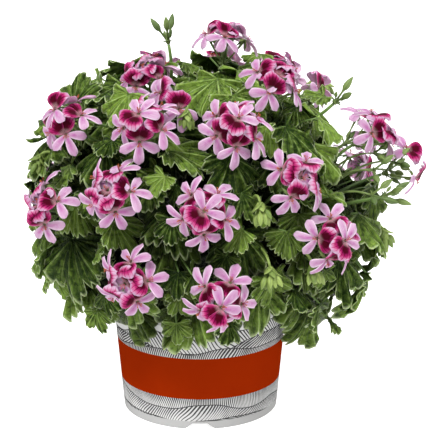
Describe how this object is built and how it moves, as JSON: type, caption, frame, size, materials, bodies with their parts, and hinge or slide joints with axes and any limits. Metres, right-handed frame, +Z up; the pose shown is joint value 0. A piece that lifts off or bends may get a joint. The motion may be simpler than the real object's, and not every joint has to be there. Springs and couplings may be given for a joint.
{
  "type": "potted pelargonium",
  "caption": "Bushy flowering pelargonium with scalloped leaves and umbels of pansy-like blooms, growing in a tapered round plastic pot with a printed wall.",
  "frame": {"origin": "middle of the pot's underside, on the face of its centre foot, level with its foot ring", "axes": "+Z up along the pot's axis; -Y is the front, the side with the drainage notch that the picture shows"},
  "size_m": [0.2889, 0.3138, 0.2904],
  "materials": {
    "pot": "satin",
    "soil": "matte",
    "foliage": "satin",
    "petals": "matte",
    "buds": "satin"
  },
  "bodies": {
    "root": {"pot": "pot", "soil": "soil", "leafy_stem_01": "foliage", "leafy_stem_02": "foliage", "leafy_stem_03": "foliage", "leafy_stem_04": "foliage", "leafy_stem_05": "foliage", "leafy_stem_06": "foliage", "leafy_stem_07": "foliage", "leafy_stem_08": "foliage", "leafy_stem_09": "foliage", "leafy_stem_10": "foliage", "leafy_stem_11": "foliage", "leafy_stem_12": "foliage", "flower_head_01": "petals", "flower_head_02": "petals", "flower_head_03": "petals", "flower_head_04": "petals", "flower_head_05": "petals", "flower_head_06": "petals", "flower_head_07": "petals", "flower_head_08": "petals", "flower_head_09": "petals", "flower_head_10": "petals", "flower_head_11": "petals", "flower_head_12": "petals", "flower_head_13": "petals", "flower_head_14": "petals", "flower_head_15": "petals", "flower_head_16": "petals", "flower_head_17": "petals", "flower_head_18": "petals", "flower_head_19": "petals", "flower_head_20": "petals", "flower_head_21": "petals", "flower_head_22": "petals", "flower_head_23": "petals", "flower_head_24": "petals", "flower_head_25": "petals", "flower_head_26": "petals", "flower_head_27": "petals", "flower_head_28": "petals", "bud_spray_01": "buds", "bud_spray_02": "buds", "bud_spray_03": "buds", "bud_spray_04": "buds"}
  },
  "joints": []
}
